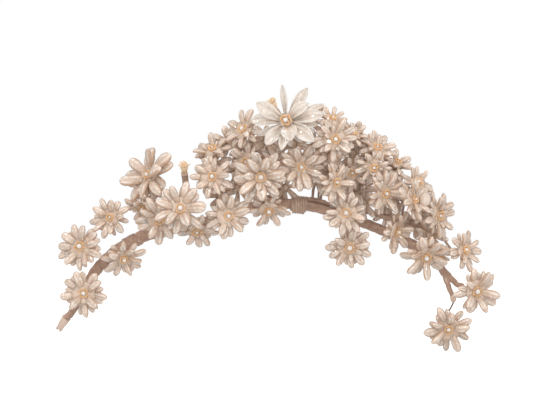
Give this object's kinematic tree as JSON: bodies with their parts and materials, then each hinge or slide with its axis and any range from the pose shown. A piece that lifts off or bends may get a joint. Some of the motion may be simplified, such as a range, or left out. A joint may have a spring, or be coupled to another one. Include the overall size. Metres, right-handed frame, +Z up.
{
  "type": "flower crown",
  "caption": "Arched hair crown of wax-dipped flowers with pearl and stamen centres, on a bendable wire band wrapped in paper tape.",
  "frame": {"origin": "the band's underside at the middle of the arch, where it rests on the head", "axes": "+X towards the wearer's left arm of the crown, which is the right side seen from the front; -Y is the front; +Z up"},
  "size_m": [0.2216, 0.0469, 0.133],
  "materials": {
    "wax": "pearly translucent wax over paper petals",
    "paper_tape": "crinkled pinkish-brown crepe paper, wound in a spiral",
    "steel_wire": "bare annealed wire",
    "stamens": "matte orange-yellow stamens round a white pearl"
  },
  "bodies": {
    "crown": {"centre_band_wire": "steel_wire", "centre_band_tape": "paper_tape", "centre_binding": "paper_tape", "left_spray_stems": "paper_tape", "left_fan_stems": "paper_tape", "crown_stems": "paper_tape", "right_crown_stems": "paper_tape", "right_shoulder_stems": "paper_tape", "upper_branch": "paper_tape", "crown_stamen_sprig": "stamens", "flower_left_05": "wax", "flower_left_06": "wax", "flower_left_07": "wax", "flower_left_08": "wax", "flower_left_09": "wax", "flower_left_10": "wax", "flower_left_11": "wax", "flower_left_12": "wax", "flower_left_13": "wax", "flower_left_14": "wax", "flower_left_15": "wax", "flower_left_16": "wax", "flower_centre_01": "wax", "flower_centre_02": "wax", "flower_centre_03": "wax", "flower_centre_04": "wax", "flower_centre_05": "wax", "flower_centre_06": "wax", "flower_centre_07": "wax", "flower_centre_08": "wax", "flower_centre_09": "wax", "flower_centre_10": "wax", "flower_centre_11": "wax", "flower_right_01": "wax", "flower_right_02": "wax", "flower_right_03": "wax", "flower_right_04": "wax", "flower_right_05": "wax", "flower_right_06": "wax", "flower_right_07": "wax", "flower_right_08": "wax"},
    "left_arm": {"left_arm_wire": "steel_wire", "left_arm_tape": "paper_tape", "flower_left_01": "wax", "flower_left_02": "wax", "flower_left_03": "wax", "flower_left_04": "wax"},
    "right_arm": {"right_arm_wire": "steel_wire", "right_arm_tape": "paper_tape", "fork_bud": "wax", "flower_right_09": "wax"},
    "hanging_flower": {"hanging_wire": "steel_wire", "hanging_flower": "wax"},
    "large_flower": {"large_flower_stem": "paper_tape", "large_flower_back": "wax", "large_flower_front": "wax", "large_flower_centre": "stamens"},
    "low_flower": {"flower_centre_12_stem": "paper_tape", "flower_centre_12": "wax"},
    "left_sprig": {"left_stamen_sprig": "stamens"}
  },
  "joints": [
    {"name": "left_arm_bend", "type": "hinge", "parent": "crown", "child": "left_arm", "pos_m": [-0.069, 0.00389, -0.01481], "axis": [0, 1, 0], "range_deg": [-15, 5]},
    {"name": "right_arm_bend", "type": "hinge", "parent": "crown", "child": "right_arm", "pos_m": [0.077, 0.00484, -0.02331], "axis": [0, 1, 0], "range_deg": [-8, 15]},
    {"name": "hanging_flower_swing", "type": "hinge", "parent": "right_arm", "child": "hanging_flower", "pos_m": [0.0904, 0.00658, -0.0475], "axis": [0, 1, 0], "range_deg": [-20, 20], "stiffness_Nm_per_rad": 0.002},
    {"name": "large_flower_nod", "type": "hinge", "parent": "crown", "child": "large_flower", "pos_m": [0.005, 0.001, 0.033], "axis": [1, 0, 0], "range_deg": [-12, 8]},
    {"name": "low_flower_swing", "type": "hinge", "parent": "crown", "child": "low_flower", "pos_m": [0.0385, 0.00122, -0.00735], "axis": [0, 1, 0], "range_deg": [-12, 15]},
    {"name": "left_sprig_bend", "type": "hinge", "parent": "crown", "child": "left_sprig", "pos_m": [-0.045, 0.004, -0.001], "axis": [0, 1, 0], "range_deg": [-12, 12]}
  ]
}
